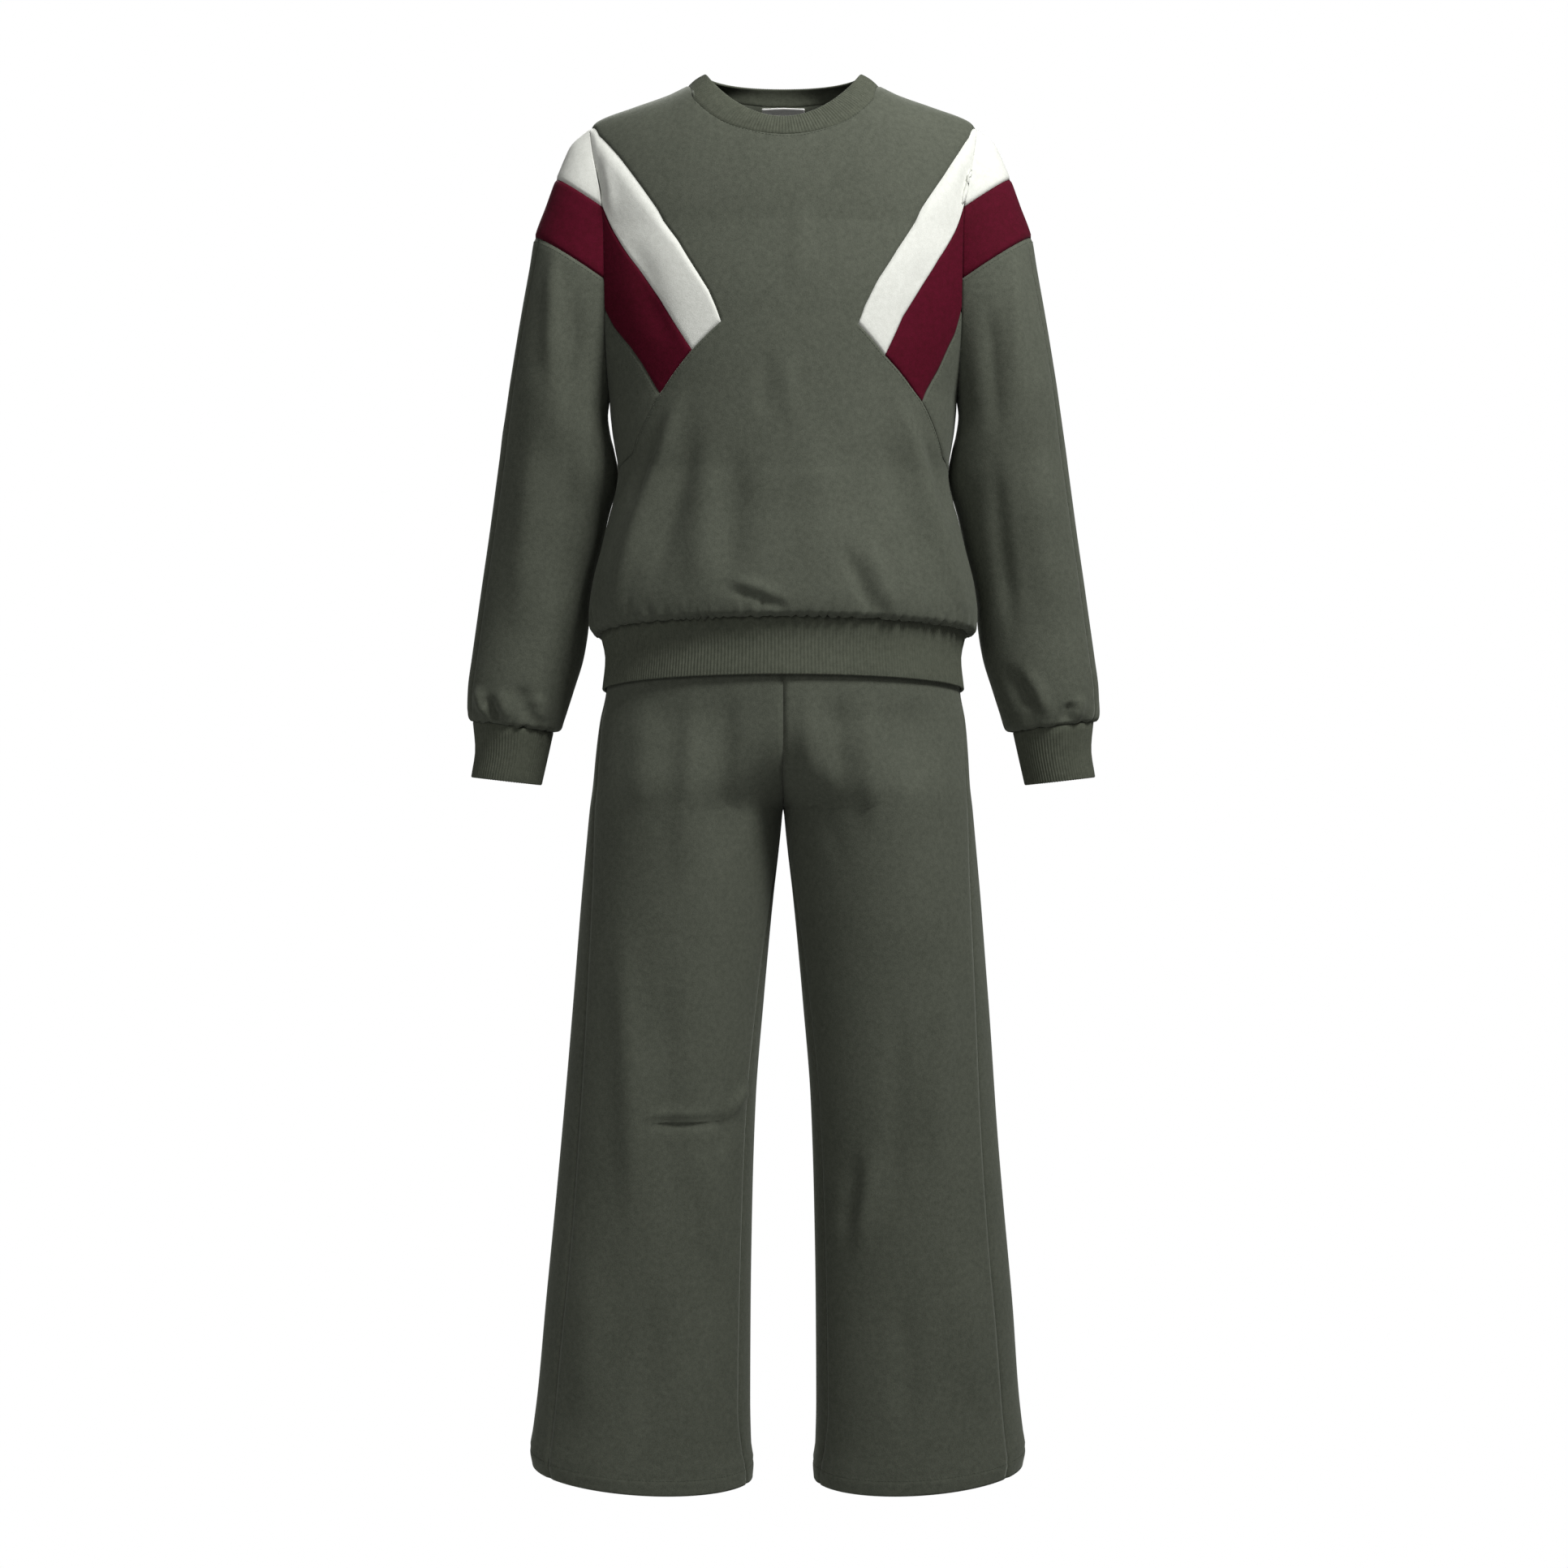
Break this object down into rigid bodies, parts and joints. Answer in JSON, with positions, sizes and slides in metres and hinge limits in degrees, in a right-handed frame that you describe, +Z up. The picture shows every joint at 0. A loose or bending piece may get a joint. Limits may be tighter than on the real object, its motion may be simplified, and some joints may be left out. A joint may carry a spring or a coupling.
{
  "type": "sweatshirt and trousers set",
  "caption": "Hollow crew-neck sweatshirt with slanting colour bands over rib hem and cuffs, worn with straight wide-leg trousers; open at neck, cuffs and leg hems.",
  "frame": {"origin": "where the wearer carries the set: on the shoulders, at the middle of the neck base", "axes": "+Z up along the wearer, +Y towards the back, +X towards the viewer's right in the front view (the wearer's left side)"},
  "size_m": [0.6276, 0.2503, 1.379],
  "materials": {
    "fleece_green": "soft matt sweatshirt fleece",
    "rib_green": "matt rib knit",
    "fleece_burgundy": "soft matt sweatshirt fleece",
    "fleece_white": "soft matt sweatshirt fleece",
    "label_white": "plain woven ribbon"
  },
  "bodies": {
    "root": {"back_body": "fleece_green", "burgundy_band_left": "fleece_burgundy", "burgundy_band_right": "fleece_burgundy", "collar": "rib_green", "cuff_left": "rib_green", "cuff_right": "rib_green", "front_body": "fleece_green", "hem_band": "rib_green", "neck_label": "label_white", "side_panel_left": "fleece_green", "side_panel_right": "fleece_green", "sleeve_back_left": "fleece_green", "sleeve_back_right": "fleece_green", "sleeve_band_left": "fleece_burgundy", "sleeve_band_right": "fleece_burgundy", "sleeve_front_left": "fleece_green", "sleeve_front_right": "fleece_green", "sleeve_top_left": "fleece_white", "sleeve_top_right": "fleece_white", "trouser_back_left": "fleece_green", "trouser_back_right": "fleece_green", "trouser_front_left": "fleece_green", "trouser_front_right": "fleece_green", "waistband": "rib_green", "white_band_left": "fleece_white", "white_band_right": "fleece_white"}
  },
  "joints": []
}
